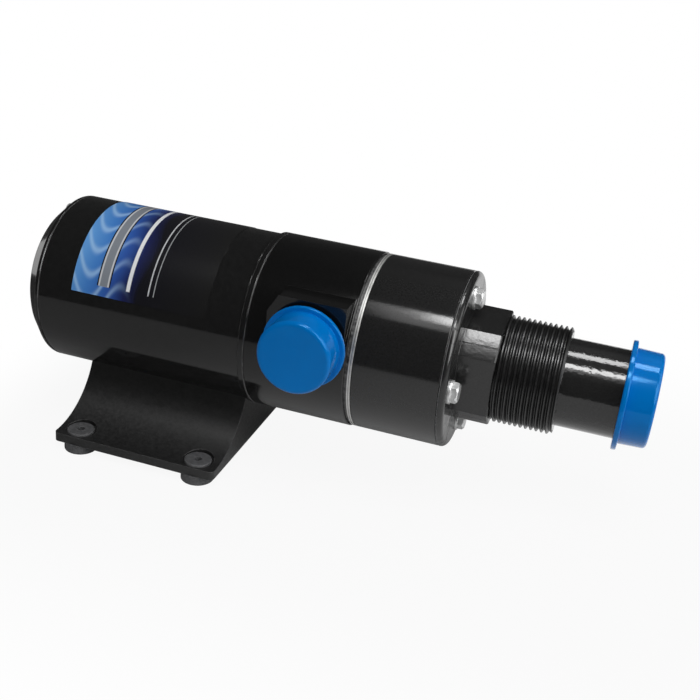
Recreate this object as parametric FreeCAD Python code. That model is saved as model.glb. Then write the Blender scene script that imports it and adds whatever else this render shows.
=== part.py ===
import FreeCAD, Part
import math
import os

# Macerator pump for waste water: a brushed 12 V motor drives a centrifugal impeller and a chopper blade.
# Millimetres. The origin is the centre of the four fixing holes on the resting plane, +X runs along the
# pump axis towards the inlet, +Z is up, and the discharge spigot points along -Y.

Vector = FreeCAD.Vector

# Clearances
running_gap = 0.05        # rotating part inside a fixed bore
fit_gap = 0.05            # pieces pushed together by hand, radial
soft_gap = 0.3            # soft cap round its spigot
bolt_gap = 0.25           # bolt shank in a plain hole, radial
tapped_hole_spare = 1.0   # tapped hole past the bolt's end
seam_chamfer = 0.4        # on the outer edges that meet at a seam
overlap = 1.0             # how far forms that are joined or cut run past each other
tolerance = 0.01          # for finding an edge by its place

# Pump axis and motor tube
axis_height = 69.1
tube_radius = 39.5
tube_wall = 3.0
tube_rear_x = -53.9
tube_length = 99.8
spigot_depth = 5.0        # how far each end cover reaches into the tube
spigot_wall = 3.0

# Rear cover
rear_cover_length = 8.5
rear_cover_rim = 1.5        # straight side before the sloping shoulder
rear_cover_edge_round = 1.2
rear_cover_wall = 3.0
rear_step_radius = 31.5
rear_step_height = 1.0
rear_step_round = 0.8

# Front bell between motor and pump
bell_flange_length = 2.9
bell_web = 4.0

# Bearings
rear_bearing_bore = 4.0
rear_bearing_radius = 11.0
rear_bearing_width = 7.0
front_bearing_radius = 13.0
front_bearing_width = 8.0
bearing_ball_count = 7
bearing_boss_wall = 3.0
bearing_lip = 1.5           # what holds the front bearing from the pump's side
bearing_relief = 3.0        # free space behind the inner rings, radial
bearing_ring_share = 0.26   # height of each ring as a share of the space between bore and outside

# Motor inside
magnet_thickness = 6.4
magnet_span_deg = 136.0
magnet_past_core = 4.0      # magnets past each end of the core
air_gap = 0.6
core_slot_count = 12
core_slot_width = 6.0
core_slot_depth = 10.5
core_slot_mouth = 2.0
core_tooth_tip = 1.6
winding_gap = 0.25
winding_overhang = 6.5
winding_round = 2.6
winding_riser_gap = 0.65  # wound ends to the commutator's riser, radial
winding_rear_gap = 0.25   # wound ends to the commutator, along the axis
winding_front_gap = 4.55  # wound ends to the front bearing's hub, along the axis
commutator_radius = 13.0
commutator_length = 13.0
commutator_set_in = 11.9    # commutator from the tube's rear end
commutator_bar_count = 12
commutator_slit = 0.7
commutator_slit_depth = 2.0
riser_length = 2.0
riser_height = 1.5
brush_plate_thickness = 2.5
brush_plate_bore = 17.0
brush_width = 6.0
brush_length = 9.0
brush_height = 12.0
brush_box_wall = 1.2
brush_box_stand_off = 3.0   # box to commutator
brush_box_edge_gap = 4.0    # box to the tube's bore
brush_spring_wire = 0.7
brush_spring_turns = 5
breaker_length = 9.0
breaker_width = 14.0
breaker_height = 6.0
breaker_angle_deg = 50.0

# Long motor bolts from the rear cover into the pump body
motor_bolt_radius = 2.0
motor_bolt_core_gap = 0.7   # shank to the armature core
motor_bolt_engagement = 7.0
motor_bolt_head_radius = 3.6
motor_bolt_head_height = 3.0
motor_bolt_head_sink = 1.5
motor_bolt_socket_width = 3.0
motor_bolt_socket_depth = 1.5
motor_bolt_pad_wall = 1.5

# Lead grommet in the rear cover, between the bearing's boss and the cover's inside corner
lead_grommet_edge_gap = 0.75
lead_grommet_wall = 1.8
lead_grommet_lip = 1.6
lead_grommet_round = 1.0
lead_grommet_angle_deg = 180.0

# Label wrapped round the tube
label_rear_x = -36.9
label_length = 66.2
label_thickness = 0.15
label_gap = 0.05          # layer of glue
label_low_angle_deg = 14.0    # its front edge, above the -Y side
label_high_angle_deg = 166.0

# Mounting bracket and its rubber grommets
bracket_length = 82.0
bracket_width = 98.0
foot_thickness = 4.3
flank_radius = 36.0
flank_start = 2.4         # flat strip between the foot's edge and the flank's curve
bracket_corner_round = 2.5
hole_end_distance = 10.5    # fixing holes from the bracket's ends
hole_side_distance = 7.0    # fixing holes from the bracket's sides
grommet_neck_radius = 5.0
grommet_top_radius = 6.35
grommet_top_height = 1.2
grommet_flange_radius = 7.75
grommet_flange_height = 4.6
grommet_bore = 1.75
grommet_edge_round = 0.5
grommet_pocket_gap = 1.15
bracket_screw_radius = 2.5
bracket_screw_head_radius = 4.6
bracket_screw_head_height = 3.4
bracket_screw_socket_radius = 1.75
bracket_screw_spacing = 50.0
bracket_screw_pocket = 8.0

# Pump body
body_proud = 1.1                 # pump body and front bell outside the tube, radial
body_length = 46.5
volute_radius = 25.0
volute_depth = 28.2
impeller_back_gap = 2.0
seal_radius = 11.0
seal_width = 4.5
seal_lip_thickness = 1.2
drain_radius = 20.0
seal_spacer = 0.6

# Discharge boss, spigot and cap
port_back_from_body_end = 18.0   # port axis behind the body's inlet end
port_rise = 9.6                  # port axis above the pump axis
port_bore = 9.5
boss_rise = 29.4
boss_rear_reach = 18.6
boss_front_reach = 16.7
boss_cut_length = 4.6            # slanted rear corner, along the pump axis
boss_cut_drop = 8.0              # slanted rear corner, down from the top
boss_corner_round = 1.0
discharge_root_radius = 13.6
discharge_root_depth = 4.0       # how far the spigot starts inside the boss
discharge_barb_radius = 14.3
discharge_barb_count = 2
discharge_length = 14.6
discharge_cap_wall = 1.8
discharge_cap_end = 1.6
discharge_cap_stand_off = 2.0    # cap flange to boss face
discharge_flange_radius = 18.5
discharge_flange_thickness = 2.0
cap_edge_round = 1.8
flange_edge_round = 0.6

# Wear plate and gaskets
body_gasket_thickness = 1.5
body_gasket_recess = 0.9
wear_plate_thickness = 1.6
wear_plate_eye = 14.0
cover_gasket_thickness = 0.4
cover_gasket_recess = 0.4
stack_set_back = 0.4             # wear plate, chopper housing and inlet cover inside the body's side

# Chopper housing
housing_length = 38.4
chopper_radius = 26.5

# Inlet cover with wrench neck, pipe thread and hose tail
cover_plate_thickness = 2.7
cover_edge_rim = 0.3             # straight side before the round
cover_spigot_length = 3.0
neck_length = 16.3
neck_width = 44.6                # between the wide flats
neck_corner_width = 50.5         # between the cut corners
neck_turn_deg = -3.6             # wide flats and bolts, above the -Y side
neck_chamfer = 0.5
thread_gap = 0.3
thread_relief = 1.0              # pipe inside the neck under the thread's root, radial
thread_root_radius = 22.7
thread_length = 27.5
tail_radius = 19.7
tail_length = 37.0
inlet_bore = 16.2
tail_edge_chamfer = 0.6
tail_lead_length = 11.6           # slightly tapered end that the cap covers
tail_lead_taper = 0.4
bore_mouth_flare = 5.0

# Inlet cap
inlet_cap_wall = 1.4
inlet_cap_end = 1.6
inlet_cap_inside_gap = 1.4       # tail's end to the cap's inner face
inlet_cap_grip = 11.4            # length of tail inside the cap
inlet_flange_radius = 24.3
inlet_flange_thickness = 2.3
inlet_cap_taper = 0.5

# Cover bolts and washers
cover_bolt_circle_radius = 31.0
cover_bolt_count = 4
cover_bolt_radius = 2.4
cover_bolt_engagement = 6.8
cover_bolt_head_width = 8.0
cover_bolt_head_height = 3.1
cover_bolt_head_crown = 0.9      # height of the head's sloping rim
cover_bolt_head_top_radius = 3.7
cover_bolt_head_turn_deg = 12.0
washer_radius = 5.2
washer_thickness = 1.0

# Shaft, impeller and chopper blade
shaft_radius = 5.0
shaft_tip_radius = 4.0
shaft_tip_chamfer = 0.6
shaft_rear_end_gap = 0.6
impeller_radius = 22.0
impeller_front_radius = 20.5
impeller_hub_radius = 9.0
impeller_plate_thickness = 2.5
impeller_vane_count = 5
impeller_vane_thickness = 2.2
impeller_vane_sweep_deg = 55.0
impeller_vane_mid_share = 0.55   # share of the sweep reached half way out
impeller_face_gap = 0.8
drive_pin_radius = 1.5
drive_pin_length = 15.0
slinger_radius = 15.0
slinger_thickness = 1.5
slinger_stand_off = 2.0     # bell to slinger
slinger_collar_wall = 3.0
slinger_collar_length = 2.5
blade_stand_off = 8.0            # wear plate to blade
spacer_radius = 7.5
blade_radius = 22.5
blade_thickness = 3.0
blade_arm_count = 4
blade_arm_width = 9.0
blade_hub_radius = 11.0
blade_tip_bend = 4.0
blade_tip_width = 5.0
blade_hook_radius = 6.8
blade_hook_reach = 16.2          # hook's centre from the shaft
blade_hook_drop = 2.7            # hook's centre below the arm
nut_width = 13.0
nut_height = 6.5
nut_washer_radius = 8.1
nut_washer_thickness = 1.0
shaft_tip_proud = 1.2

# Stations along the axis, from rear to inlet
tube_front_x = tube_rear_x + tube_length
rear_face_x = tube_rear_x - rear_cover_length
body_rear_x = tube_front_x + bell_flange_length
body_front_x = body_rear_x + body_length
wear_plate_x = body_front_x + body_gasket_thickness
housing_x = wear_plate_x + wear_plate_thickness
housing_end_x = housing_x + housing_length
cover_x = housing_end_x + cover_gasket_thickness
cover_face_x = cover_x + cover_plate_thickness
neck_end_x = cover_face_x + neck_length
thread_x = neck_end_x + thread_gap
thread_end_x = thread_x + thread_length
tail_end_x = thread_end_x + tail_length
port_x = body_front_x - port_back_from_body_end

# Sizes that follow from the ones above
tube_bore = tube_radius - tube_wall
body_radius = tube_radius + body_proud
rear_cover_shoulder = rear_cover_length - rear_cover_rim
rear_boss_radius = rear_bearing_radius + bearing_boss_wall
rear_cover_floor_radius = tube_bore - spigot_wall - rear_cover_shoulder + rear_cover_wall
lead_grommet_circle_radius = (rear_cover_floor_radius + rear_boss_radius) / 2.0
lead_grommet_radius = (rear_cover_floor_radius - rear_boss_radius) / 2.0 - lead_grommet_edge_gap
lead_grommet_bore = lead_grommet_radius - lead_grommet_lip - lead_grommet_wall
magnet_inner = tube_bore - magnet_thickness
core_radius = magnet_inner - air_gap
motor_bolt_circle_radius = core_radius + motor_bolt_core_gap + motor_bolt_radius
winding_inner_radius = commutator_radius + riser_height + winding_riser_gap
foot_top_z = grommet_flange_height + foot_thickness
hole_spacing_x = bracket_length - 2.0 * hole_end_distance
hole_spacing_y = bracket_width - 2.0 * hole_side_distance
stack_radius = body_radius - stack_set_back
cover_edge_round = cover_plate_thickness - cover_edge_rim
volute_floor_x = body_front_x - volute_depth
seal_bore_x = volute_floor_x - 2.0 * seal_width - seal_spacer
impeller_back_x = volute_floor_x + impeller_back_gap
impeller_front_x = wear_plate_x - impeller_face_gap
spacer_end_x = housing_x + blade_stand_off
blade_end_x = spacer_end_x + blade_thickness
nut_x = blade_end_x + nut_washer_thickness
shaft_tip_x = nut_x + nut_height + shaft_tip_proud
rear_bearing_x = rear_face_x + rear_cover_wall + shaft_rear_end_gap
front_bearing_x = body_rear_x - bearing_lip - front_bearing_width
commutator_rear_x = tube_rear_x + commutator_set_in
commutator_front_x = commutator_rear_x + commutator_length
core_rear_x = commutator_front_x + winding_rear_gap + winding_overhang + winding_gap
core_front_x = front_bearing_x - winding_front_gap - winding_overhang - winding_gap
brush_plane_x = commutator_rear_x + (commutator_length - riser_length) / 2.0
brush_box_outer = tube_bore - brush_box_edge_gap
brush_plate_x = tube_rear_x + spigot_depth
motor_bolt_seat_x = rear_face_x + motor_bolt_head_sink + motor_bolt_head_height
cover_outer_x = rear_face_x - rear_step_height
boss_face_y = -body_radius
port_z = axis_height + port_rise


def polar(radius, angle_deg):
    """Point in the YZ plane: angle 0 is the -Y side, 90 is up."""
    angle = math.radians(angle_deg)
    return -radius * math.cos(angle), axis_height + radius * math.sin(angle)


def rod(x0, x1, radius, y=0.0, z=axis_height):
    return Part.makeCylinder(radius, x1 - x0, Vector(x0, y, z), Vector(1, 0, 0))


def tube(x0, x1, outer, inner, y=0.0, z=axis_height):
    return rod(x0, x1, outer, y, z).cut(rod(x0, x1, inner, y, z))


def box(x0, x1, y0, y1, z0, z1):
    return Part.makeBox(x1 - x0, y1 - y0, z1 - z0, Vector(x0, y0, z0))


def turned(points):
    """Solid of revolution about the pump axis from (x, radius) corners."""
    corners = [Vector(x, 0, axis_height + radius) for x, radius in points]
    face = Part.Face(Part.makePolygon(corners + corners[:1]))
    return face.revolve(Vector(0, 0, axis_height), Vector(1, 0, 0), 360)


def turned_on_port(points):
    """Solid of revolution about the port axis from (distance out of the boss face, radius) corners."""
    corners = [Vector(port_x + radius, boss_face_y - out, port_z) for out, radius in points]
    face = Part.Face(Part.makePolygon(corners + corners[:1]))
    return face.revolve(Vector(port_x, 0, port_z), Vector(0, 1, 0), 360)


def spin(shape, angle_deg):
    """Copy turned about the pump axis, from the -Y side upwards."""
    copy = shape.copy()
    copy.rotate(Vector(0, 0, axis_height), Vector(1, 0, 0), -angle_deg)
    return copy


def hexagon(x0, x1, width, y, z, turn_deg=0.0):
    corner = width / math.sqrt(3.0)
    points = []
    for k in range(6):
        angle = math.radians(60.0 * k + turn_deg)
        points.append(Vector(x0, y + corner * math.cos(angle), z + corner * math.sin(angle)))
    face = Part.Face(Part.makePolygon(points + points[:1]))
    return face.extrude(Vector(x1 - x0, 0, 0))


def circles(shape, centre, radius):
    """Circular edges of one radius about one centre, for rounding and chamfers."""
    found = []
    for edge in shape.Edges:
        curve = edge.Curve
        if isinstance(curve, Part.Circle):
            if (curve.Center - centre).Length < tolerance and abs(curve.Radius - radius) < tolerance:
                found.append(edge)
    return found


def on_axis(x):
    return Vector(x, 0, axis_height)


def seam_edges(shape, radius, xs):
    """Copy of a round shape with a small chamfer on its outer edges at the given places."""
    rims = []
    for x in xs:
        rims += circles(shape, on_axis(x), radius)
    return shape.makeChamfer(seam_chamfer, rims)


def on_port(out):
    return Vector(port_x, boss_face_y - out, port_z)


def cover_bolt_places():
    return [polar(cover_bolt_circle_radius, neck_turn_deg + 360.0 * k / cover_bolt_count)
            for k in range(cover_bolt_count)]


def motor_bolt_places():
    return [polar(motor_bolt_circle_radius, angle) for angle in (90.0, -90.0)]


def bracket_screw_xs():
    return [-bracket_screw_spacing / 2.0, bracket_screw_spacing / 2.0]


def motor_tube():
    shape = tube(tube_rear_x, tube_front_x, tube_radius, tube_bore)
    shape = seam_edges(shape, tube_radius, (tube_rear_x, tube_front_x))
    for x in bracket_screw_xs():
        hole = Part.makeCylinder(bracket_screw_radius + fit_gap, axis_height, Vector(x, 0, 0))
        shape = shape.cut(hole)
    return shape


def arc_sheet(x0, x1, inner, outer, low_deg, high_deg):
    """Curved plate about the pump axis between two radii and two angles."""
    middle = (low_deg + high_deg) / 2.0
    corners = []
    for radius, angle in ((outer, low_deg), (outer, middle), (outer, high_deg),
                          (inner, high_deg), (inner, middle), (inner, low_deg)):
        y, z = polar(radius, angle)
        corners.append(Vector(x0, y, z))
    edges = [Part.Arc(corners[0], corners[1], corners[2]).toShape(),
             Part.makeLine(corners[2], corners[3]),
             Part.Arc(corners[3], corners[4], corners[5]).toShape(),
             Part.makeLine(corners[5], corners[0])]
    return Part.Face(Part.Wire(edges)).extrude(Vector(x1 - x0, 0, 0))


def label():
    inner = tube_radius + label_gap
    return arc_sheet(label_rear_x, label_rear_x + label_length, inner, inner + label_thickness,
                     label_low_angle_deg, label_high_angle_deg)


def rear_cover():
    outer = rod(rear_face_x, tube_rear_x, tube_radius)
    outer = outer.makeChamfer(rear_cover_shoulder, circles(outer, on_axis(rear_face_x), tube_radius))
    shoulder_ends = circles(outer, on_axis(rear_face_x), tube_radius - rear_cover_shoulder)
    shoulder_ends += circles(outer, on_axis(tube_rear_x - rear_cover_rim), tube_radius)
    outer = outer.makeFillet(rear_cover_edge_round, shoulder_ends)
    outer = seam_edges(outer, tube_radius, (tube_rear_x,))
    step = rod(cover_outer_x, rear_face_x + rear_step_height, rear_step_radius)
    step = step.makeFillet(rear_step_round, circles(step, on_axis(cover_outer_x), rear_step_radius))
    spigot = rod(tube_rear_x, brush_plate_x, tube_bore - fit_gap)
    shape = outer.fuse([step, spigot])
    inside_x = rear_face_x + rear_cover_wall
    hollow_radius = tube_bore - spigot_wall
    hollow = rod(inside_x, brush_plate_x, hollow_radius)
    hollow = hollow.makeFillet(rear_cover_shoulder - rear_cover_wall,
                               circles(hollow, on_axis(inside_x), hollow_radius))
    shape = shape.cut(hollow)
    boss = rod(rear_face_x, rear_bearing_x + rear_bearing_width, rear_boss_radius)
    shape = shape.fuse(boss)
    shape = shape.cut(rod(rear_bearing_x, rear_bearing_x + rear_bearing_width, rear_bearing_radius))
    shape = shape.cut(rod(inside_x, rear_bearing_x, rear_bearing_bore + bearing_relief))
    for y, z in motor_bolt_places():
        pad = rod(rear_face_x, brush_plate_x, motor_bolt_head_radius + motor_bolt_pad_wall, y, z)
        shape = shape.fuse(pad.common(outer.fuse(spigot)))
        shape = shape.cut(rod(cover_outer_x, brush_plate_x, motor_bolt_radius + bolt_gap, y, z))
        shape = shape.cut(rod(cover_outer_x, motor_bolt_seat_x, motor_bolt_head_radius + bolt_gap, y, z))
    y, z = polar(lead_grommet_circle_radius, lead_grommet_angle_deg)
    shape = shape.cut(rod(cover_outer_x, inside_x, lead_grommet_radius - lead_grommet_lip, y, z))
    return shape.removeSplitter()


def lead_grommet():
    y, z = polar(lead_grommet_circle_radius, lead_grommet_angle_deg)
    inner_x = rear_face_x + rear_cover_wall
    end_x = cover_outer_x - lead_grommet_lip
    neck = rod(cover_outer_x, inner_x, lead_grommet_radius - lead_grommet_lip, y, z)
    outside = rod(end_x, cover_outer_x, lead_grommet_radius, y, z)
    outside = outside.makeFillet(lead_grommet_round,
                                 circles(outside, Vector(end_x, y, z), lead_grommet_radius))
    inside = rod(inner_x, inner_x + lead_grommet_lip, lead_grommet_radius, y, z)
    shape = neck.fuse([outside, inside])
    bore = rod(end_x, inner_x + lead_grommet_lip, lead_grommet_bore, y, z)
    return shape.cut(bore).removeSplitter()


def front_bell():
    flange = rod(tube_front_x, body_rear_x, body_radius)
    flange = seam_edges(flange, body_radius, (tube_front_x, body_rear_x))
    spigot = rod(tube_front_x - spigot_depth, tube_front_x, tube_bore - fit_gap)
    shape = flange.fuse(spigot)
    web_x = body_rear_x - bell_web
    shape = shape.cut(rod(tube_front_x - spigot_depth, web_x, tube_bore - spigot_wall))
    hub = rod(front_bearing_x, body_rear_x, front_bearing_radius + bearing_boss_wall)
    shape = shape.fuse(hub)
    shape = shape.cut(rod(front_bearing_x, front_bearing_x + front_bearing_width, front_bearing_radius))
    shape = shape.cut(rod(front_bearing_x, body_rear_x, shaft_radius + bearing_relief))
    for y, z in motor_bolt_places():
        shape = shape.cut(rod(tube_front_x - spigot_depth, body_rear_x,
                              motor_bolt_radius + bolt_gap, y, z))
    return shape.removeSplitter()


def bearing_parts(x0, width, bore, outside):
    """Outer ring, inner ring and balls of a ball bearing."""
    height = outside - bore
    ring = height * bearing_ring_share
    outer = tube(x0, x0 + width, outside, outside - ring)
    inner = tube(x0, x0 + width, bore + ring, bore)
    ball_radius = (height - 2.0 * ring) / 2.0 - running_gap
    centre_radius = bore + ring + ball_radius + running_gap
    balls = []
    for k in range(bearing_ball_count):
        y, z = polar(centre_radius, 360.0 * k / bearing_ball_count)
        balls.append(Part.makeSphere(ball_radius, Vector(x0 + width / 2.0, y, z)))
    return outer, inner, Part.makeCompound(balls)


def field_magnets():
    half = magnet_span_deg / 2.0
    x0 = core_rear_x - magnet_past_core
    x1 = core_front_x + magnet_past_core
    magnets = []
    for side in (0.0, 180.0):
        magnets.append(arc_sheet(x0, x1, magnet_inner, tube_bore - fit_gap, side - half, side + half))
    return Part.makeCompound(magnets)


def slot_shape(x0, x1, width, mouth, shrink):
    """One winding slot: a deep pocket under a narrower mouth, at angle 0."""
    top = core_radius - core_tooth_tip - shrink
    bottom = core_radius - core_slot_depth + shrink
    pocket = box(x0, x1, -top, -bottom, axis_height - width / 2.0, axis_height + width / 2.0)
    if mouth > 0:
        pocket = pocket.fuse(box(x0, x1, -core_radius - core_tooth_tip, -bottom,
                                 axis_height - mouth / 2.0, axis_height + mouth / 2.0))
    return pocket


def armature_core():
    shape = tube(core_rear_x, core_front_x, core_radius, shaft_radius + fit_gap)
    for k in range(core_slot_count):
        slot = slot_shape(core_rear_x, core_front_x, core_slot_width, core_slot_mouth, 0.0)
        shape = shape.cut(spin(slot, 360.0 * k / core_slot_count))
    return shape


def armature_windings():
    outer = core_radius - core_tooth_tip - winding_gap
    rear = core_rear_x - winding_gap
    front = core_front_x + winding_gap
    ends = []
    for near, far in ((rear - winding_overhang, rear), (front, front + winding_overhang)):
        bundle = tube(near, far, outer, winding_inner_radius)
        rims = circles(bundle, on_axis(near), outer) + circles(bundle, on_axis(far), outer)
        ends.append(bundle.makeFillet(winding_round, rims))
    bars = []
    for k in range(core_slot_count):
        bar = slot_shape(rear - winding_round, front + winding_round,
                         core_slot_width - 2.0 * winding_gap, 0.0, winding_gap)
        bars.append(spin(bar, 360.0 * k / core_slot_count))
    return ends[0].fuse([ends[1]] + bars).removeSplitter()


def commutator():
    front_x = commutator_front_x
    shape = tube(commutator_rear_x, front_x, commutator_radius, shaft_radius + fit_gap)
    riser = tube(front_x - riser_length, front_x, commutator_radius + riser_height,
                 commutator_radius - riser_height)
    shape = shape.fuse(riser)
    for k in range(commutator_bar_count):
        slit = box(commutator_rear_x, front_x,
                   -commutator_radius - riser_height, -commutator_radius + commutator_slit_depth,
                   axis_height - commutator_slit / 2.0, axis_height + commutator_slit / 2.0)
        shape = shape.cut(spin(slit, 360.0 * (k + 0.5) / commutator_bar_count))
    return shape.removeSplitter()


def brush_block(inner, outer, grow):
    return box(brush_plane_x - brush_length / 2.0 - grow, brush_plane_x + brush_length / 2.0 + grow,
               -outer, -inner,
               axis_height - brush_width / 2.0 - grow, axis_height + brush_width / 2.0 + grow)


def brush_holder():
    plate_end = brush_plate_x + brush_plate_thickness
    shape = tube(brush_plate_x, plate_end, tube_bore - fit_gap, brush_plate_bore)
    inner = commutator_radius + brush_box_stand_off
    for side in (0.0, 180.0):
        cage = brush_block(inner, brush_box_outer, brush_box_wall)
        stem = box(brush_plate_x, brush_plane_x - brush_length / 2.0, -brush_box_outer, -brush_plate_bore,
                   axis_height - brush_width / 2.0 - brush_box_wall,
                   axis_height + brush_width / 2.0 + brush_box_wall)
        cage = cage.fuse(stem).cut(brush_block(0.0, brush_box_outer - brush_box_wall, fit_gap))
        shape = shape.fuse(spin(cage, side))
    for y, z in motor_bolt_places():
        shape = shape.cut(rod(brush_plate_x, plate_end, motor_bolt_radius + bolt_gap, y, z))
    return shape.removeSplitter()


def brushes():
    face = commutator_radius + running_gap
    block = brush_block(face, face + brush_height, 0.0)
    block = block.cut(rod(brush_plane_x - brush_length, brush_plane_x + brush_length, face))
    return Part.makeCompound([spin(block, side) for side in (0.0, 180.0)])


def brush_springs():
    start = commutator_radius + running_gap + brush_height + brush_spring_wire / 2.0
    end = brush_box_outer - brush_box_wall - brush_spring_wire / 2.0
    mean = brush_width / 2.0 - brush_spring_wire
    pitch = (end - start) / brush_spring_turns
    helix = Part.makeHelix(pitch, end - start, mean)
    ring = Part.Wire(Part.makeCircle(brush_spring_wire / 2.0, Vector(mean, 0, 0), Vector(0, 1, 0)))
    coil = Part.Wire(helix).makePipeShell([ring], True, True)
    coil.rotate(Vector(0, 0, 0), Vector(1, 0, 0), 90)
    coil.translate(Vector(brush_plane_x, -start, axis_height))
    return Part.makeCompound([spin(coil, side) for side in (0.0, 180.0)])


def thermal_breaker():
    x0 = brush_plate_x + brush_plate_thickness
    y, z = polar((tube_bore + brush_plate_bore) / 2.0, breaker_angle_deg)
    return box(x0, x0 + breaker_length, y - breaker_width / 2.0, y + breaker_width / 2.0,
               z - breaker_height / 2.0, z + breaker_height / 2.0)


def motor_bolts():
    bolts = []
    top_x = rear_face_x + motor_bolt_head_sink
    for y, z in motor_bolt_places():
        shank = rod(motor_bolt_seat_x, body_rear_x + motor_bolt_engagement, motor_bolt_radius, y, z)
        head = rod(top_x, motor_bolt_seat_x, motor_bolt_head_radius, y, z)
        socket = hexagon(top_x, top_x + motor_bolt_socket_depth, motor_bolt_socket_width, y, z)
        bolts.append(shank.fuse(head).cut(socket).removeSplitter())
    return Part.makeCompound(bolts)


def flank_height(y):
    """Height of the bracket's curved flank at a distance y from its middle plane."""
    run = bracket_width / 2.0 - flank_start - y
    return foot_top_z + flank_radius - math.sqrt(flank_radius ** 2 - run ** 2)


def saddle_meeting():
    """Distance from the middle plane where the flank's arc meets the motor tube."""
    across = bracket_width / 2.0 - flank_start
    rise = foot_top_z + flank_radius - axis_height
    distance = math.hypot(across, rise)
    along = (distance ** 2 + tube_radius ** 2 - flank_radius ** 2) / (2.0 * distance)
    aside = math.sqrt(tube_radius ** 2 - along ** 2)
    return (along * across + aside * rise) / distance


def bracket_profile(x):
    """Section of the bracket: flat feet, concave flanks and a saddle under the tube."""
    half = bracket_width / 2.0
    start = half - flank_start
    meet = saddle_meeting()
    meet_z = flank_height(meet)
    middle = (start + meet) / 2.0
    low = grommet_flange_height

    def at(y, z):
        return Vector(x, y, z)

    edges = [
        Part.makeLine(at(-half, low), at(half, low)),
        Part.makeLine(at(half, low), at(half, foot_top_z)),
        Part.makeLine(at(half, foot_top_z), at(start, foot_top_z)),
        Part.Arc(at(start, foot_top_z), at(middle, flank_height(middle)), at(meet, meet_z)).toShape(),
        Part.Arc(at(meet, meet_z), at(0, axis_height - tube_radius), at(-meet, meet_z)).toShape(),
        Part.Arc(at(-meet, meet_z), at(-middle, flank_height(middle)), at(-start, foot_top_z)).toShape(),
        Part.makeLine(at(-start, foot_top_z), at(-half, foot_top_z)),
        Part.makeLine(at(-half, foot_top_z), at(-half, low)),
    ]
    return Part.Face(Part.Wire(edges))


def grommet_places():
    return [(sx * hole_spacing_x / 2.0, sy * hole_spacing_y / 2.0) for sx in (-1, 1) for sy in (-1, 1)]


def mount_bracket():
    shape = bracket_profile(-bracket_length / 2.0).extrude(Vector(bracket_length, 0, 0))
    corners = []
    for edge in shape.Edges:
        upright = abs(edge.BoundBox.ZLength - foot_thickness) < tolerance
        if upright and abs(abs(edge.CenterOfMass.y) - bracket_width / 2.0) < tolerance:
            corners.append(edge)
    shape = shape.makeFillet(bracket_corner_round, corners)
    low = grommet_flange_height
    for x, y in grommet_places():
        hole = Part.makeCylinder(grommet_neck_radius + fit_gap, foot_thickness + 2.0 * overlap,
                                 Vector(x, y, low - overlap))
        pocket = Part.makeCylinder(grommet_top_radius + grommet_pocket_gap, flank_radius,
                                   Vector(x, y, foot_top_z))
        shape = shape.cut(hole).cut(pocket)
    for x in bracket_screw_xs():
        hole = Part.makeCylinder(bracket_screw_radius + bolt_gap, axis_height, Vector(x, 0, 0))
        recess = Part.makeCylinder(bracket_screw_head_radius + bolt_gap, bracket_screw_pocket,
                                   Vector(x, 0, low))
        shape = shape.cut(hole).cut(recess)
    return shape.removeSplitter()


def mount_grommets():
    grommets = []
    for x, y in grommet_places():
        foot = Part.makeCylinder(grommet_flange_radius, grommet_flange_height, Vector(x, y, 0))
        foot = foot.makeFillet(grommet_edge_round, circles(foot, Vector(x, y, 0), grommet_flange_radius))
        neck = Part.makeCylinder(grommet_neck_radius, foot_thickness, Vector(x, y, grommet_flange_height))
        top_z = foot_top_z + grommet_top_height
        top = Part.makeCylinder(grommet_top_radius, grommet_top_height, Vector(x, y, foot_top_z))
        top = top.makeFillet(grommet_edge_round, circles(top, Vector(x, y, top_z), grommet_top_radius))
        bore = Part.makeCylinder(grommet_bore, top_z, Vector(x, y, 0))
        grommets.append(foot.fuse([neck, top]).cut(bore).removeSplitter())
    return Part.makeCompound(grommets)


def bracket_screws():
    screws = []
    seat_z = grommet_flange_height + bracket_screw_pocket
    tip_z = axis_height - tube_bore
    for x in bracket_screw_xs():
        shank = Part.makeCylinder(bracket_screw_radius, tip_z - seat_z, Vector(x, 0, seat_z))
        head = Part.makeCylinder(bracket_screw_head_radius, bracket_screw_head_height,
                                 Vector(x, 0, seat_z - bracket_screw_head_height))
        socket = Part.makeCylinder(bracket_screw_socket_radius, bracket_screw_head_height / 2.0,
                                   Vector(x, 0, seat_z - bracket_screw_head_height))
        screws.append(shank.fuse(head).cut(socket).removeSplitter())
    return Part.makeCompound(screws)


def boss_section(x):
    """Body section with the discharge boss: the flat face runs up from the side of the round body."""
    back_y = -math.sqrt(body_radius ** 2 - boss_rise ** 2)

    def at(y, z):
        return Vector(x, y, axis_height + z)

    edges = [
        Part.makeLine(at(-body_radius, 0), at(-body_radius, boss_rise)),
        Part.makeLine(at(-body_radius, boss_rise), at(back_y, boss_rise)),
        Part.Arc(at(back_y, boss_rise), at(body_radius, 0), at(-body_radius, 0)).toShape(),
    ]
    return Part.Face(Part.Wire(edges))


def boss_outline():
    """Side view of the boss as a thick plate across the body, its upper rear corner cut at a slant."""
    rear_x = port_x - boss_rear_reach
    front_x = port_x + boss_front_reach
    top = axis_height + boss_rise
    corners = [Vector(x, -body_radius, z) for x, z in (
        (rear_x, axis_height - body_radius), (front_x, axis_height - body_radius), (front_x, top),
        (rear_x + boss_cut_length, top), (rear_x, top - boss_cut_drop))]
    face = Part.Face(Part.makePolygon(corners + corners[:1]))
    plate = face.extrude(Vector(0, 2.0 * body_radius, 0))
    slant_ends = []
    for edge in plate.Edges:
        middle = edge.CenterOfMass
        across = abs(edge.BoundBox.YLength - 2.0 * body_radius) < tolerance
        at_slant = middle.x < rear_x + boss_cut_length + tolerance and middle.z > axis_height
        if across and at_slant:
            slant_ends.append(edge)
    return plate.makeFillet(boss_corner_round, slant_ends)


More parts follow.
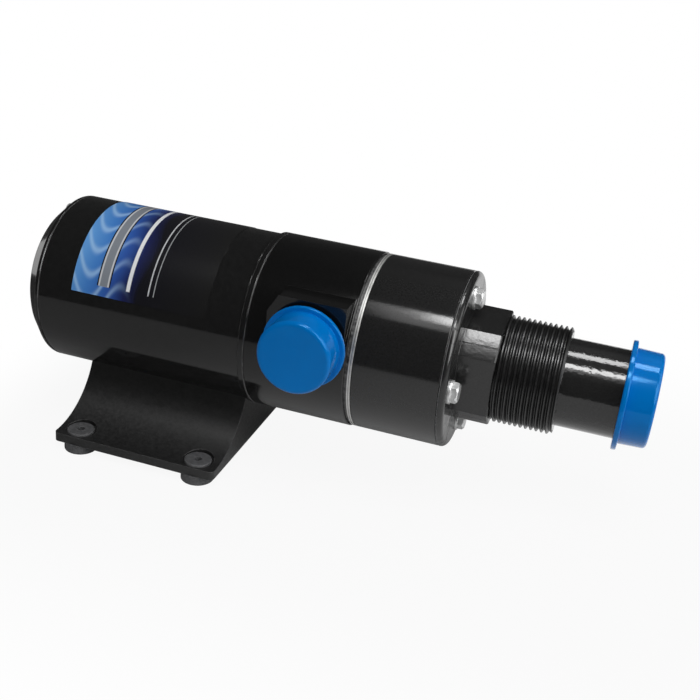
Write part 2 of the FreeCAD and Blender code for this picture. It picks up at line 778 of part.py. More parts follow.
def pump_body():
    barrel = rod(body_rear_x, body_front_x, body_radius)
    barrel = seam_edges(barrel, body_radius, (body_rear_x, body_front_x))
    boss_rear = port_x - boss_rear_reach
    boss = boss_section(boss_rear).extrude(Vector(boss_rear_reach + boss_front_reach, 0, 0))
    shape = barrel.fuse(boss.common(boss_outline()))
    shape = shape.fuse(turned_on_port(discharge_profile()))
    shape = shape.cut(rod(volute_floor_x, body_front_x, volute_radius))
    outlet = Part.makeCylinder(port_bore, body_radius + discharge_length, on_port(discharge_length),
                               Vector(0, 1, 0))
    shape = shape.cut(outlet)
    shape = shape.cut(rod(seal_bore_x, volute_floor_x, seal_radius))
    shape = shape.cut(rod(body_rear_x, seal_bore_x, drain_radius))
    for y, z in motor_bolt_places():
        shape = shape.cut(rod(body_rear_x, body_rear_x + motor_bolt_engagement + tapped_hole_spare,
                              motor_bolt_radius + fit_gap, y, z))
    for y, z in cover_bolt_places():
        shape = shape.cut(rod(body_front_x - cover_bolt_engagement - tapped_hole_spare, body_front_x,
                              cover_bolt_radius + fit_gap, y, z))
    return shape.removeSplitter()


def discharge_profile():
    """Hose spigot: saw-tooth barbs on a plain root, from inside the boss to the mouth."""
    step = discharge_length / (discharge_barb_count + 1.0)
    points = [(-discharge_root_depth, port_bore), (-discharge_root_depth, discharge_root_radius),
              (step, discharge_root_radius)]
    for k in range(discharge_barb_count):
        start = step * (k + 1)
        points.append((start, discharge_barb_radius))
        points.append((start + step, discharge_root_radius))
    points.append((discharge_length, port_bore))
    return points


def body_gasket():
    shape = tube(body_front_x, wear_plate_x, stack_radius - body_gasket_recess, volute_radius)
    for y, z in cover_bolt_places():
        shape = shape.cut(rod(body_front_x, wear_plate_x, cover_bolt_radius + bolt_gap, y, z))
    return shape


def wear_plate():
    shape = tube(wear_plate_x, housing_x, stack_radius, wear_plate_eye)
    for y, z in cover_bolt_places():
        shape = shape.cut(rod(wear_plate_x, housing_x, cover_bolt_radius + bolt_gap, y, z))
    return shape


def chopper_housing():
    shape = tube(housing_x, housing_end_x, stack_radius, chopper_radius)
    shape = seam_edges(shape, stack_radius, (housing_x, housing_end_x))
    for y, z in cover_bolt_places():
        shape = shape.cut(rod(housing_x, housing_end_x, cover_bolt_radius + bolt_gap, y, z))
    return shape


def cover_gasket():
    shape = tube(housing_end_x, cover_x, stack_radius - cover_gasket_recess, chopper_radius)
    for y, z in cover_bolt_places():
        shape = shape.cut(rod(housing_end_x, cover_x, cover_bolt_radius + bolt_gap, y, z))
    return shape


def neck_block():
    """Square wrench neck with its corners cut off, turned to the bolts."""
    wide = neck_width / 2.0
    cut = neck_corner_width / 2.0
    x0 = cover_face_x - overlap
    square = box(x0, neck_end_x, -wide, wide, axis_height - wide, axis_height + wide)
    diamond = box(x0, neck_end_x, -cut, cut, axis_height - cut, axis_height + cut)
    block = square.common(spin(diamond, 45.0))
    end_edges = []
    for edge in block.Edges:
        if abs(edge.BoundBox.XMin - neck_end_x) < tolerance:
            end_edges.append(edge)
    block = block.makeChamfer(neck_chamfer, end_edges)
    return spin(block, neck_turn_deg)


def inlet_cover():
    plate = rod(cover_x, cover_face_x, stack_radius)
    plate = plate.makeFillet(cover_edge_round, circles(plate, on_axis(cover_face_x), stack_radius))
    spigot = rod(cover_x - cover_spigot_length, cover_x, chopper_radius - fit_gap)
    pipe = turned([(cover_face_x, inlet_bore - overlap), (cover_face_x, thread_root_radius - thread_relief),
                   (neck_end_x, thread_root_radius - thread_relief), (thread_x, thread_root_radius),
                   (thread_end_x, thread_root_radius), (thread_end_x, tail_radius),
                   (tail_end_x - tail_lead_length, tail_radius),
                   (tail_end_x - tail_edge_chamfer, tail_radius - tail_lead_taper),
                   (tail_end_x, tail_radius - tail_lead_taper - tail_edge_chamfer),
                   (tail_end_x, inlet_bore - overlap)])
    shape = plate.fuse([spigot, neck_block(), pipe])
    flare = turned([(cover_x - cover_spigot_length, 0.0),
                    (cover_x - cover_spigot_length, inlet_bore + bore_mouth_flare),
                    (cover_x - cover_spigot_length + bore_mouth_flare, inlet_bore),
                    (tail_end_x, inlet_bore), (tail_end_x, 0.0)])
    shape = shape.cut(flare)
    for y, z in cover_bolt_places():
        shape = shape.cut(rod(cover_x, cover_face_x, cover_bolt_radius + bolt_gap, y, z))
    return shape.removeSplitter()


def cover_washers():
    washers = []
    for y, z in cover_bolt_places():
        washers.append(tube(cover_face_x, cover_face_x + washer_thickness, washer_radius,
                            cover_bolt_radius + bolt_gap, y, z))
    return Part.makeCompound(washers)


def cover_bolts():
    bolts = []
    seat_x = cover_face_x + washer_thickness
    head_x = seat_x + cover_bolt_head_height
    crown_x = head_x - cover_bolt_head_crown
    corner = cover_bolt_head_width / math.sqrt(3.0)
    for y, z in cover_bolt_places():
        head = hexagon(seat_x, head_x, cover_bolt_head_width, y, z, cover_bolt_head_turn_deg)
        crown = Part.makeCone(corner, cover_bolt_head_top_radius, cover_bolt_head_crown,
                              Vector(crown_x, y, z), Vector(1, 0, 0))
        head = head.common(rod(seat_x, crown_x, corner, y, z).fuse(crown))
        shank = rod(body_front_x - cover_bolt_engagement, seat_x, cover_bolt_radius, y, z)
        bolts.append(head.fuse(shank).removeSplitter())
    return Part.makeCompound(bolts)


def inlet_cap():
    inner = tail_radius + soft_gap
    outer = inner + inlet_cap_wall
    open_x = tail_end_x - inlet_cap_grip
    inside_x = tail_end_x + inlet_cap_inside_gap
    end_x = inside_x + inlet_cap_end
    shell = turned([(open_x, 0.0), (open_x, outer), (end_x, outer - inlet_cap_taper), (end_x, 0.0)])
    shell = shell.makeFillet(cap_edge_round, circles(shell, on_axis(end_x), outer - inlet_cap_taper))
    flange = rod(open_x, open_x + inlet_flange_thickness, inlet_flange_radius)
    rims = circles(flange, on_axis(open_x), inlet_flange_radius)
    rims += circles(flange, on_axis(open_x + inlet_flange_thickness), inlet_flange_radius)
    flange = flange.makeFillet(flange_edge_round, rims)
    shape = shell.fuse(flange)
    return shape.cut(rod(open_x, inside_x, inner)).removeSplitter()


def discharge_cap():
    inner = discharge_barb_radius + soft_gap
    outer = inner + discharge_cap_wall
    inside = discharge_length + soft_gap
    end = inside + discharge_cap_end
    start = discharge_cap_stand_off
    shell = turned_on_port([(start, 0.0), (start, outer), (end, outer), (end, 0.0)])
    shell = shell.makeFillet(cap_edge_round, circles(shell, on_port(end), outer))
    top = start + discharge_flange_thickness
    flange = turned_on_port([(start, 0.0), (start, discharge_flange_radius),
                             (top, discharge_flange_radius), (top, 0.0)])
    rims = circles(flange, on_port(start), discharge_flange_radius)
    rims += circles(flange, on_port(top), discharge_flange_radius)
    flange = flange.makeFillet(flange_edge_round, rims)
    hollow = turned_on_port([(start, 0.0), (start, inner), (inside, inner), (inside, 0.0)])
    return shell.fuse(flange).cut(hollow).removeSplitter()


def shaft_seals():
    """Two lip seals, one behind the other, with their lips round the shaft."""
    seals = []
    for x1 in (volute_floor_x, volute_floor_x - seal_width - seal_spacer):
        x0 = x1 - seal_width
        lip = shaft_radius + running_gap
        seals.append(turned([(x0, seal_radius), (x1, seal_radius), (x1, seal_radius - seal_lip_thickness),
                             (x0 + seal_lip_thickness, seal_radius - seal_lip_thickness),
                             (x0 + seal_lip_thickness, lip + seal_lip_thickness),
                             (x1 - seal_lip_thickness, lip + seal_lip_thickness),
                             (x1 - seal_lip_thickness, lip), (x0, lip)]))
    return Part.makeCompound(seals)


def slinger():
    x0 = body_rear_x + slinger_stand_off
    x1 = x0 + slinger_thickness
    disc = tube(x0, x1, slinger_radius, shaft_radius + fit_gap)
    collar = tube(x1, x1 + slinger_collar_length, shaft_radius + slinger_collar_wall, shaft_radius + fit_gap)
    return disc.fuse(collar).removeSplitter()


def motor_shaft():
    rear_x = rear_bearing_x
    shoulder_x = rear_bearing_x + rear_bearing_width
    shape = rod(rear_x, shoulder_x, rear_bearing_bore - fit_gap)
    shape = shape.fuse([rod(shoulder_x, spacer_end_x, shaft_radius),
                        rod(spacer_end_x, shaft_tip_x, shaft_tip_radius)])
    pin_x = impeller_back_x + drive_pin_radius
    pin_hole = Part.makeCylinder(drive_pin_radius + fit_gap, drive_pin_length,
                                 Vector(pin_x, -drive_pin_length / 2.0, axis_height), Vector(0, 1, 0))
    shape = shape.cut(pin_hole)
    tip = circles(shape, on_axis(shaft_tip_x), shaft_tip_radius)
    return shape.makeChamfer(shaft_tip_chamfer, tip).removeSplitter()


def drive_pin():
    pin_x = impeller_back_x + drive_pin_radius
    return Part.makeCylinder(drive_pin_radius, drive_pin_length,
                             Vector(pin_x, -drive_pin_length / 2.0, axis_height), Vector(0, 1, 0))


def impeller_vane(x0, x1):
    """One backward-curved vane between two arcs, from the hub to the rim."""
    reach = impeller_radius + overlap
    start = impeller_hub_radius - overlap
    half = impeller_vane_thickness / 2.0

    def at(radius, angle, off):
        y, z = polar(radius, angle)
        tangent = math.radians(angle + 90.0)
        return Vector(x0, y - off * math.cos(tangent), z + off * math.sin(tangent))

    # A positive turn about +X carries the -Y side upwards, so the vane's rim trails downwards.
    angles = (0.0, -impeller_vane_sweep_deg * impeller_vane_mid_share, -impeller_vane_sweep_deg)
    radii = (start, (start + reach) / 2.0, reach)
    front = [at(radii[k], angles[k], half) for k in range(3)]
    back = [at(radii[k], angles[k], -half) for k in range(3)]
    edges = [Part.Arc(front[0], front[1], front[2]).toShape(),
             Part.makeLine(front[2], back[2]),
             Part.Arc(back[2], back[1], back[0]).toShape(),
             Part.makeLine(back[0], front[0])]
    return Part.Face(Part.Wire(edges)).extrude(Vector(x1 - x0, 0, 0))


def impeller():
    plate_end = impeller_back_x + impeller_plate_thickness
    plate = rod(impeller_back_x, plate_end, impeller_radius)
    hub = rod(impeller_back_x, impeller_front_x, impeller_hub_radius)
    vane = impeller_vane(plate_end - overlap, impeller_front_x)
    vanes = [spin(vane, 360.0 * k / impeller_vane_count) for k in range(impeller_vane_count)]
    envelope = turned([(impeller_back_x, 0.0), (impeller_back_x, impeller_radius),
                       (plate_end, impeller_radius), (impeller_front_x, impeller_front_radius),
                       (impeller_front_x, 0.0)])
    shape = plate.fuse([hub] + [one.common(envelope) for one in vanes])
    shape = shape.cut(rod(impeller_back_x, impeller_front_x, shaft_radius + fit_gap))
    slot = box(impeller_back_x, impeller_back_x + 2.0 * drive_pin_radius + fit_gap,
               -drive_pin_length / 2.0 - fit_gap, drive_pin_length / 2.0 + fit_gap,
               axis_height - drive_pin_radius - fit_gap, axis_height + drive_pin_radius + fit_gap)
    return shape.cut(slot).removeSplitter()


def shaft_spacer():
    return tube(impeller_front_x, spacer_end_x, spacer_radius, shaft_radius + fit_gap)


def chopper_blade():
    """Blade with hooked arms, each bent at its tip, on a round hub."""
    hub = rod(spacer_end_x, blade_end_x, blade_hub_radius)
    low = axis_height - blade_arm_width / 2.0
    high = low + blade_arm_width
    arm = box(spacer_end_x, blade_end_x, -blade_radius, 0.0, low, high)
    hook = rod(spacer_end_x, blade_end_x, blade_hook_radius, -blade_hook_reach, low - blade_hook_drop)
    arm = arm.cut(hook)
    tip = box(blade_end_x - overlap, blade_end_x + blade_tip_bend, -blade_radius,
              -blade_radius + blade_thickness, high - blade_tip_width, high)
    arm = arm.fuse(tip)
    shape = hub.fuse([spin(arm, 360.0 * k / blade_arm_count) for k in range(blade_arm_count)])
    shape = shape.common(rod(spacer_end_x, blade_end_x + blade_tip_bend, blade_radius))
    return shape.cut(rod(spacer_end_x, blade_end_x, shaft_tip_radius + fit_gap)).removeSplitter()


def blade_washer():
    return tube(blade_end_x, nut_x, nut_washer_radius, shaft_tip_radius + fit_gap)


def blade_nut():
    nut = hexagon(nut_x, nut_x + nut_height, nut_width, 0.0, axis_height)
    return nut.cut(rod(nut_x, nut_x + nut_height, shaft_tip_radius + fit_gap))


def build_parts():
    rear_outer, rear_inner, rear_balls = bearing_parts(rear_bearing_x, rear_bearing_width,
                                                       rear_bearing_bore, rear_bearing_radius)
    front_outer, front_inner, front_balls = bearing_parts(front_bearing_x, front_bearing_width,
                                                          shaft_radius + fit_gap, front_bearing_radius)
    return {
        "motor_tube": motor_tube(),
        "label": label(),
        "rear_cover": rear_cover(),
        "lead_grommet": lead_grommet(),
        "front_bell": front_bell(),
        "rear_bearing_outer": rear_outer,
        "rear_bearing_inner": rear_inner,
        "rear_bearing_balls": rear_balls,
        "front_bearing_outer": front_outer,
        "front_bearing_inner": front_inner,
        "front_bearing_balls": front_balls,
        "field_magnets": field_magnets(),
        "brush_holder": brush_holder(),
        "brushes": brushes(),
        "brush_springs": brush_springs(),
        "thermal_breaker": thermal_breaker(),
        "motor_bolts": motor_bolts(),
        "mount_bracket": mount_bracket(),
        "mount_grommets": mount_grommets(),
        "bracket_screws": bracket_screws(),
        "pump_body": pump_body(),
        "shaft_seals": shaft_seals(),
        "body_gasket": body_gasket(),
        "wear_plate": wear_plate(),
        "chopper_housing": chopper_housing(),
        "cover_gasket": cover_gasket(),
        "inlet_cover": inlet_cover(),
        "cover_washers": cover_washers(),
        "cover_bolts": cover_bolts(),
        "motor_shaft": motor_shaft(),
        "armature_core": armature_core(),
        "armature_windings": armature_windings(),
        "commutator": commutator(),
        "slinger": slinger(),
        "drive_pin": drive_pin(),
        "impeller": impeller(),
        "shaft_spacer": shaft_spacer(),
        "chopper_blade": chopper_blade(),
        "blade_washer": blade_washer(),
        "blade_nut": blade_nut(),
        "inlet_cap": inlet_cap(),
        "discharge_cap": discharge_cap(),
    }


def main():
    os.makedirs("parts", exist_ok=True)
    for node, shape in build_parts().items():
        shape.exportStep("parts/" + node + ".step")
        print(node, "solids", len(shape.Solids), "volume", round(shape.Volume, 1), "valid", shape.isValid())


main()
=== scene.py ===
import math
from typing import NamedTuple
import bmesh
import bpy
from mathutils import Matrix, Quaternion, Vector

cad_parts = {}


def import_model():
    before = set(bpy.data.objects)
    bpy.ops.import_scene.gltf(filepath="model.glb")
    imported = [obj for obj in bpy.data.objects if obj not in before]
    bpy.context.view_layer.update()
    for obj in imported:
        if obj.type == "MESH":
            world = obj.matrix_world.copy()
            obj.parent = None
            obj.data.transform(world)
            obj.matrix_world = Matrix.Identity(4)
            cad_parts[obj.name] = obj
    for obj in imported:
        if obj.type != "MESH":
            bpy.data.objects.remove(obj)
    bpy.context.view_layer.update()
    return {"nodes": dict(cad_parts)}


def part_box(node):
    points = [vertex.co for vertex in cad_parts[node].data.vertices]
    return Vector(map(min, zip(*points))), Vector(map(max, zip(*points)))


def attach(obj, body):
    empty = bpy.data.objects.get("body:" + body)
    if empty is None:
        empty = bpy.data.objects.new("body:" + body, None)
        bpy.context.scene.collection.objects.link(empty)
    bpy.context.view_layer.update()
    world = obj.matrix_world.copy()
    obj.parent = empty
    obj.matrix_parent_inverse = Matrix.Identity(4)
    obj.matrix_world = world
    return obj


# A black macerator pump with blue caps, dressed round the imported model. Metres, in the model's own frame:
# +X runs along the pump axis towards the inlet, +Z is up and the discharge spigot points along -Y.

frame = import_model()
nodes = frame["nodes"]

MM = 0.001
WHITE = (1.0, 1.0, 1.0, 1.0)


def linear(red, green, blue):
    """Linear colour from the usual 0 to 255 screen values."""
    def one(value):
        value = value / 255.0
        return value / 12.92 if value <= 0.04045 else ((value + 0.055) / 1.055) ** 2.4
    return one(red), one(green), one(blue), 1.0


def grey(shade):
    return linear(shade, shade, shade)


class Lamp(NamedTuple):
    """A rectangular lamp, the point it faces, and whether it lights matt surfaces and shows in mirrors."""
    name: str
    place: tuple
    aim: tuple
    size: tuple
    radiance: float
    diffuse: bool = True
    glossy: bool = True


class Bumps(NamedTuple):
    """Noise that raises a surface by up to a depth, stretched where an axis has a value below one."""
    scale: float
    strength: float
    depth: float
    stretch: tuple = (1.0, 1.0, 1.0)


# Camera, from the fit to the photograph
PHOTO_SIDE = 700
FOCAL_PIXELS = 1063.3
SENSOR_WIDTH = 36.0
CAMERA_PLACE = Vector((0.2037, -0.4331, 0.2677))
CAMERA_AZIMUTH = 15.21          # degrees from +Y towards -X
CAMERA_DROP = 24.69             # degrees below the horizon
CAMERA_ROLL = 6.11              # degrees
CAMERA_CLIP = 0.01

# Floor, whose front edge also shows in the glossy parts
FLOOR_SHADE = 0.55
FLOOR_REACH = 5.0
FLOOR_FRONT = -0.385            # front edge at x = 0
FLOOR_SLANT = -0.40             # slope of that edge, which lies further forward on the right
FLOOR_NOTCH = (-0.13, 0.0)      # no floor left of and behind this, where the rear cover would mirror it
FLOOR_FADE = (-0.125, -0.06)    # white to the camera left of this stretch, so that the notch doesn't show
FLOOR_CENTRE = (0.08, 0.0)      # middle of the object
FLOOR_HALF = 0.12               # half the length of the line that distances are taken from
FLOOR_SHADOW = (0.08, 0.25)     # distances over which the shadow gives way to white
SHADOW_SEEN = 0.92              # share of white close to the object, to the camera

# Share of white on the floor in mirrors
MIRROR_RISE = (-0.05, 0.16)     # in front of the object it rises from left to right
MIRROR_BEHIND = (-0.06, 0.03)   # and falls again towards the back
MIRROR_FAR = (0.12, 0.24)       # distances over which it rises once more
MIRROR_FAR_RISE = (0.06, 0.17)  # that far off, too, it rises from left to right
MIRROR_FAR_SHARE = 0.85         # up to this
MIRROR_RIGHT = (0.13, 0.21)     # on the right it reaches one everywhere

# Cloth tent that only mirrors see
TENT_RADIUS = 7.0
TENT_SHADE = 0.05
TENT_GREY = 0.26                # what the cloth overhead to the right is paler by
TENT_GREY_HEIGHT = (0.55, 0.82) # where this starts and is whole, in radii
TENT_GREY_SIDE = (-0.30, 0.12)
TENT_SEGMENTS = 48
TENT_RINGS = 24

# Light: strips and cards that the glossy parts mirror, and a soft key lamp that they don't
AMBIENT = 0.30
LAMPS = [
    Lamp("front_strip", place=(0.1325, -0.435, 1.06), aim=(0.1325, -0.435, 0.0), size=(0.365, 0.21),
         radiance=20.0, diffuse=False),
    Lamp("front_halo", place=(0.085, -0.535, 1.07), aim=(0.085, -0.535, 0.0), size=(0.47, 0.43),
         radiance=2.4, diffuse=False),
    Lamp("top_box", place=(0.215, 0.205, 1.06), aim=(0.215, 0.205, 0.0), size=(0.25, 0.25),
         radiance=15.0, diffuse=False),
    Lamp("side_strip", place=(0.87, -0.65, 0.72), aim=(0.08, -0.06, 0.08), size=(0.60, 1.00),
         radiance=7.0, diffuse=False),
    Lamp("right_card", place=(1.18, -0.08, 0.62), aim=(0.10, 0.0, 0.07), size=(1.05, 0.76),
         radiance=2.8),
    Lamp("left_card", place=(-0.42, 0.165, 0.02), aim=(-0.06, 0.0, 0.07), size=(0.12, 0.10),
         radiance=0.9, diffuse=False),
    Lamp("key", place=(0.25, -0.50, 1.10), aim=(0.08, 0.0, 0.07), size=(0.60, 0.60),
         radiance=4.4, glossy=False),
]

# Main sizes, read from the model
TUBE_LOW, TUBE_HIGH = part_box("motor_tube")
BELL_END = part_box("front_bell")[1].x
LABEL_LOW, LABEL_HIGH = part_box("label")
PLATE_LOW, PLATE_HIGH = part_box("wear_plate")
AXIS_Z = (TUBE_LOW.z + TUBE_HIGH.z) / 2.0

# Finishes in general
EDGE_ROUND = 0.3 * MM           # how much a finish rounds the edges, where it gives no value of its own
EDGE_SAMPLES = 6
NOISE_SPREAD = (0.3, 0.7)       # most of a noise lies between these
PATCH_DETAIL = 3.0
ALONG = (0.12, 1.0, 1.0)        # bumps drawn out along the axis
TURNED = (1.0, 0.15, 0.15)      # marks of turning, round the axis
LAYERED = (1.0, 0.02, 0.02)     # thin sheets, square to the axis
WOUND = (0.2, 1.0, 1.0)         # wires that run along the axis

# Painted edge highlight: paler colour where a rounded normal turns away from the true one
EDGE_HIGHLIGHT_SAMPLES = 4
EDGE_HIGHLIGHT_MATCH = (0.86, 0.99)        # cosine of the angle between the two, from edge highlight to plain face
EDGE_HIGHLIGHT_NOISE = 220.0
EDGE_HIGHLIGHT_PATCHES = (0.35, 0.62)
EDGE_HIGHLIGHT_LEAST = 0.3

# Painted highlight along the seams: a pale band, broken up by noise
SEAM_HALF = 0.22 * MM
SEAM_NOISE = 160.0
SEAM_PATCHES = (0.35, 0.60)
SEAM_LEAST = 0.25
SEAM_HIGHLIGHT_COLOUR = grey(104)

# Glossy mouldings
GLOSS_SHADE_SPREAD = 4
# Painted edge highlight on the glossy mouldings: its reach and its pale colour
GLOSS_HIGHLIGHT_RADIUS = 0.25 * MM
GLOSS_EDGE_HIGHLIGHT = grey(70)

# Inlet cover's wrench neck, and the ripples all over the cover
NECK_END = 0.1563
NECK_ROUGHER = 0.075
NECK_CALMER = 0.35              # share that the ripples lose there
RIPPLE_SCALE = 600.0
RIPPLE_STRENGTH = 0.60
RIPPLE_DEPTH = 0.13 * MM
CORNER_FLAT_TURN = 41.4         # degrees from the front upwards
CORNER_FLAT_HALF = 0.0064
CORNER_CROWN = 0.080            # radius of their crown
PARTING_HALF = 0.22 * MM        # mould parting line along the middle of each
PARTING_DEPTH = 0.12 * MM

# Bracket
# Painted edge highlight on the bracket: its reach and its pale colour
SATIN_HIGHLIGHT_RADIUS = 0.5 * MM
SATIN_EDGE_HIGHLIGHT = grey(84)

# Caps
CAP_SHEEN = (0.22, 0.60, 1.0, 1.0)

# Wear plate's edge
PLATE_LINE_HALF = 0.15 * MM     # the dark line round its middle
PLATE_LINE_SHARE = 0.75
PLATE_LINE_COLOUR = grey(60)

# Label, in shares of its length from the rear, and of the half turn from the front over the top
LABEL_ROUGHNESS = 0.24
LABEL_BUMPS = Bumps(scale=300.0, strength=0.08, depth=0.05 * MM)
LABEL_GROUND = [
    (0.00, linear(96, 158, 222)),
    (0.14, linear(66, 128, 204)),
    (0.30, linear(44, 86, 168)),
    (0.42, linear(26, 34, 84)),
    (0.52, linear(20, 20, 27)),
    (1.00, grey(26)),
]
LABEL_STRIPES = [
    (0.185, 0.285, linear(14, 15, 20)),
    (0.195, 0.275, linear(206, 208, 212)),
    (0.207, 0.263, linear(132, 138, 146)),
    (0.405, 0.432, linear(238, 240, 242)),
    (0.565, 0.574, linear(205, 207, 209)),
    (0.605, 0.611, linear(170, 172, 174)),
]
STRIPE_SOFT = 0.0025
STRIPE_ENDS = (0.115, 0.885)
STRIPE_END_SOFT = 0.002
SWING_RATE = 17.0               # the ground's colours swing to and fro round the tube
SWING_SIZE = 0.030
WAVE_TURNS = 11.0               # pale waves over the blue part of the ground
WAVE_BEND_RATE = 13.0
WAVE_BEND = 0.9
WAVE_RATE = 3.1
WAVE_SHARPNESS = 9.0
WAVE_SPAN = (-0.2, 0.34)
WAVE_SOFT = 0.12
WAVE_SHARE = 0.55
WAVE_COLOUR = linear(176, 214, 246)

# Inlet thread
THREAD_START = 0.1565
THREAD_END = 0.1840
THREAD_ROOT = 0.02272
THREAD_CREST = 0.02413
THREAD_CORE = 0.0222            # inner edge of the thread's end faces, inside its pipe
THREAD_PITCH = 0.00236
THREAD_FIRST = 0.15784          # first crest, seen from the front
THREAD_CREST_SHARE = 0.20       # flat part of a crest, of the pitch
THREAD_ROOT_SHARE = 0.10
THREAD_CHAMFER = 0.0008         # last crest's height lost to the chamfer at the end
THREAD_SPARE = 2                # turns past each end, cut back to it
THREAD_STEPS = 120
THREAD_SHARP = 30.0             # degrees
THREAD_MERGE = 0.001 * MM


class Graph:
    """A shader graph, with short calls for its nodes and links."""

    def __init__(self, tree, is_world=False):
        self.tree = tree
        self.is_world = is_world
        self.place = self.node("ShaderNodeTexCoord").outputs["Object"]

    def node(self, kind, **settings):
        made = self.tree.nodes.new(kind)
        for key, value in settings.items():
            setattr(made, key, value)
        return made

    def link(self, output, target):
        self.tree.links.new(output, target)

    def feed(self, target, value):
        if isinstance(value, bpy.types.NodeSocket):
            self.link(value, target)
        else:
            target.default_value = value

    def math(self, operation, *values):
        made = self.node("ShaderNodeMath", operation=operation)
        for socket, value in zip(made.inputs, values):
            self.feed(socket, value)
        return made.outputs[0]

    def plus(self, first, second):
        return self.math("ADD", first, second)

    def minus(self, first, second):
        return self.math("SUBTRACT", first, second)

    def times(self, first, second):
        return self.math("MULTIPLY", first, second)

    def coordinate(self, axis):
        parts = self.node("ShaderNodeSeparateXYZ")
        self.link(self.place, parts.inputs[0])
        return parts.outputs[axis]

    def noise(self, scale, detail=2.0, stretch=(1.0, 1.0, 1.0)):
        mapping = self.node("ShaderNodeMapping")
        mapping.inputs["Scale"].default_value = stretch
        self.link(self.place, mapping.inputs["Vector"])
        made = self.node("ShaderNodeTexNoise")
        self.link(mapping.outputs[0], made.inputs["Vector"])
        made.inputs["Scale"].default_value = scale
        made.inputs["Detail"].default_value = detail
        return made.outputs["Fac"]

    def ramp(self, value, stops):
        made = self.node("ShaderNodeValToRGB")
        elements = made.color_ramp.elements
        while len(elements) < len(stops):
            elements.new(1.0)
        for element, (position, colour) in zip(elements, stops):
            element.position = position
            element.color = colour
        self.link(value, made.inputs["Fac"])
        return made.outputs["Color"]

    def mix(self, factor, first, second):
        made = self.node("ShaderNodeMix", data_type="RGBA")
        self.feed(made.inputs["Factor"], factor)
        self.feed(made.inputs["A"], first)
        self.feed(made.inputs["B"], second)
        return made.outputs["Result"]

    def spread(self, value, low, high):
        """Noise stretched from its usual range to the one from low to high."""
        made = self.node("ShaderNodeMapRange")
        self.link(value, made.inputs["Value"])
        made.inputs["From Min"].default_value = NOISE_SPREAD[0]
        made.inputs["From Max"].default_value = NOISE_SPREAD[1]
        made.inputs["To Min"].default_value = low
        made.inputs["To Max"].default_value = high
        return made.outputs["Result"]

    def step(self, value, start, end, first=0.0, last=1.0):
        """Smooth change from first to last while the value goes from start to end."""
        made = self.node("ShaderNodeMapRange", interpolation_type="SMOOTHSTEP")
        self.link(value, made.inputs["Value"])
        made.inputs["From Min"].default_value = start
        made.inputs["From Max"].default_value = end
        made.inputs["To Min"].default_value = first
        made.inputs["To Max"].default_value = last
        return made.outputs["Result"]

    def band(self, value, low, high, soft):
        """One between low and high, nought outside, over soft edges."""
        up = self.step(value, low - soft, low + soft)
        down = self.step(value, high - soft, high + soft, 1.0, 0.0)
        return self.times(up, down)


class Finish(Graph):
    """The graph of one material, round its main shader."""

    def __init__(self, name):
        self.material = bpy.data.materials.new(name)
        self.material.use_nodes = True
        self.shader = self.material.node_tree.nodes["Principled BSDF"]
        super().__init__(self.material.node_tree)

    def set(self, name, value):
        self.feed(self.shader.inputs[name], value)

    def so_far(self, name):
        return self.shader.inputs[name].links[0].from_socket

    def round_edges(self, radius):
        bevel = self.node("ShaderNodeBevel", samples=EDGE_SAMPLES)
        bevel.inputs["Radius"].default_value = radius
        self.set("Normal", bevel.outputs["Normal"])

    def bump(self, height, strength, depth):
        """One more bump over the normal that the shader has so far."""
        made = self.node("ShaderNodeBump")
        made.inputs["Strength"].default_value = strength
        made.inputs["Distance"].default_value = depth
        self.link(height, made.inputs["Height"])
        if self.shader.inputs["Normal"].is_linked:
            self.link(self.so_far("Normal"), made.inputs["Normal"])
        self.set("Normal", made.outputs["Normal"])

    def noise_bump(self, bumps):
        self.bump(self.noise(bumps.scale, stretch=bumps.stretch), bumps.strength, bumps.depth)

    def paint_edge_highlight(self, radius, pale):
        """Painted highlight: paler colour along the edges, broken up by noise."""
        rounded = self.node("ShaderNodeBevel", samples=EDGE_HIGHLIGHT_SAMPLES)
        rounded.inputs["Radius"].default_value = radius
        flat = self.node("ShaderNodeNewGeometry")
        match = self.node("ShaderNodeVectorMath", operation="DOT_PRODUCT")
        self.link(rounded.outputs["Normal"], match.inputs[0])
        self.link(flat.outputs["Normal"], match.inputs[1])
        on_edge = self.step(match.outputs["Value"], *EDGE_HIGHLIGHT_MATCH, 1.0, 0.0)
        patchy = self.step(self.noise(EDGE_HIGHLIGHT_NOISE, detail=PATCH_DETAIL), *EDGE_HIGHLIGHT_PATCHES, EDGE_HIGHLIGHT_LEAST, 1.0)
        self.set("Base Color", self.mix(self.times(on_edge, patchy), self.so_far("Base Color"), pale))


def finish_of(name, dark, light, rough, mottle, bumps, edge=EDGE_ROUND, metallic=0.0, level=0.5):
    """A finish that wanders between two colours and two roughnesses, with bumps over rounded edges."""
    graph = Finish(name)
    patches = graph.noise(mottle, detail=PATCH_DETAIL)
    graph.set("Base Color", graph.mix(graph.spread(patches, 0.0, 1.0), dark, light))
    graph.set("Roughness", graph.spread(patches, *rough))
    graph.set("Metallic", metallic)
    graph.set("Specular IOR Level", level)
    if edge > 0:
        graph.round_edges(edge)
    for one in bumps:
        graph.noise_bump(one)
    return graph


def paint_seam_highlights(graph, seams):
    """Painted highlight: a pale band, broken up by noise, round the motor at places along the axis."""
    x = graph.coordinate("X")
    broken_up = graph.step(graph.noise(SEAM_NOISE), *SEAM_PATCHES, SEAM_LEAST, 1.0)
    for seam in seams:
        line = graph.band(x, seam - SEAM_HALF, seam + SEAM_HALF, SEAM_HALF / 2.0)
        highlighted = graph.mix(graph.times(line, broken_up), graph.so_far("Base Color"), SEAM_HIGHLIGHT_COLOUR)
        graph.set("Base Color", highlighted)


